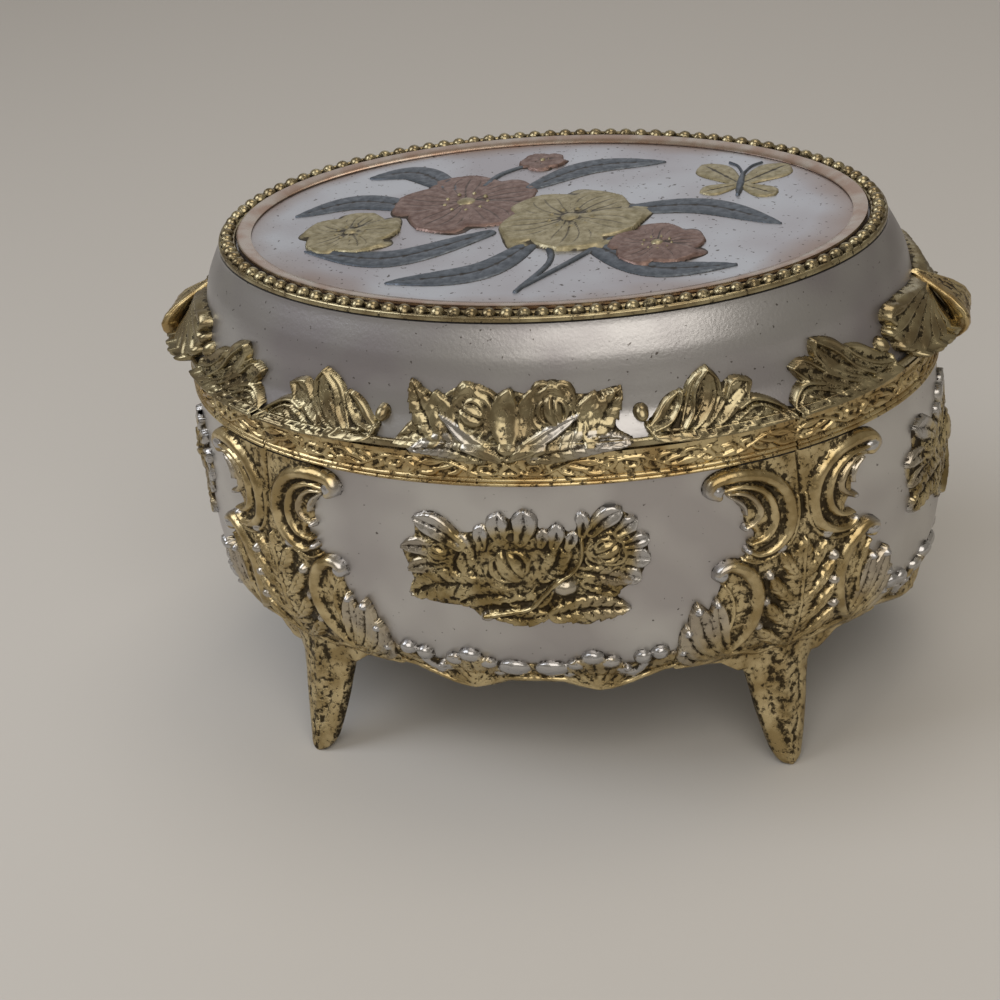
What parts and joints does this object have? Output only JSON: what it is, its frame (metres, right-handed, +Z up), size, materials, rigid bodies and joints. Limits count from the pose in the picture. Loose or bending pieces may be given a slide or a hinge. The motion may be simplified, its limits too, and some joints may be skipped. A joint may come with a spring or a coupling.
{
  "type": "trinket box",
  "caption": "Oval footed trinket box of silvered and gilt cast metal with a hinged lid, beaded rim, rose reliefs and a lined compartment.",
  "frame": {"origin": "table level, under the middle of the oval", "axes": "+X along the length of the oval, +Z up, the front with its rose spray faces -Y and the hinge is at +Y"},
  "size_m": [0.1526, 0.1079, 0.0904],
  "materials": {
    "silvered": "satin silvered casting, lightly spotted",
    "gilt": "worn gilt casting with dark brown recesses",
    "copper_gilt": "satin, copper tinged gilt",
    "steel": "plain",
    "velvet": "short crimson pile"
  },
  "bodies": {
    "body": {"front_wall": "silvered", "back_wall": "silvered", "right_wall": "silvered", "left_wall": "silvered", "front_rim_band": "gilt", "back_rim_band": "gilt", "right_rim_band": "gilt", "left_rim_band": "gilt", "front_right_leg": "gilt", "front_left_leg": "gilt", "back_right_leg": "gilt", "back_left_leg": "gilt", "front_rose_spray": "gilt", "back_rose_spray": "gilt", "right_rose_spray": "gilt", "left_rose_spray": "gilt", "front_apron": "gilt", "back_apron": "gilt", "right_apron": "gilt", "left_apron": "gilt", "bottom_plate": "steel", "floor_pad": "velvet", "wall_lining": "velvet", "body_hinge_leaf": "gilt", "hinge_pin": "steel"},
    "lid": {"lid_shell": "silvered", "lid_edge_moulding": "gilt", "lid_bead_rim": "gilt", "lid_bezel": "copper_gilt", "lid_picture_plate": "silvered", "lid_lining": "velvet", "lid_front_roses": "gilt", "lid_back_roses": "gilt", "lid_front_right_long_scroll": "gilt", "lid_front_right_end_scroll": "gilt", "lid_front_left_long_scroll": "gilt", "lid_front_left_end_scroll": "gilt", "lid_back_right_long_scroll": "gilt", "lid_back_right_end_scroll": "gilt", "lid_back_left_long_scroll": "gilt", "lid_back_left_end_scroll": "gilt", "left_palmette": "gilt", "right_palmette": "gilt", "lid_hinge_leaf": "gilt"}
  },
  "joints": [
    {"name": "lid_hinge", "type": "hinge", "parent": "body", "child": "lid", "pos_m": [0, 0.0532, 0.06815], "axis": [-1, 0, 0], "range_deg": [0, 100]}
  ]
}
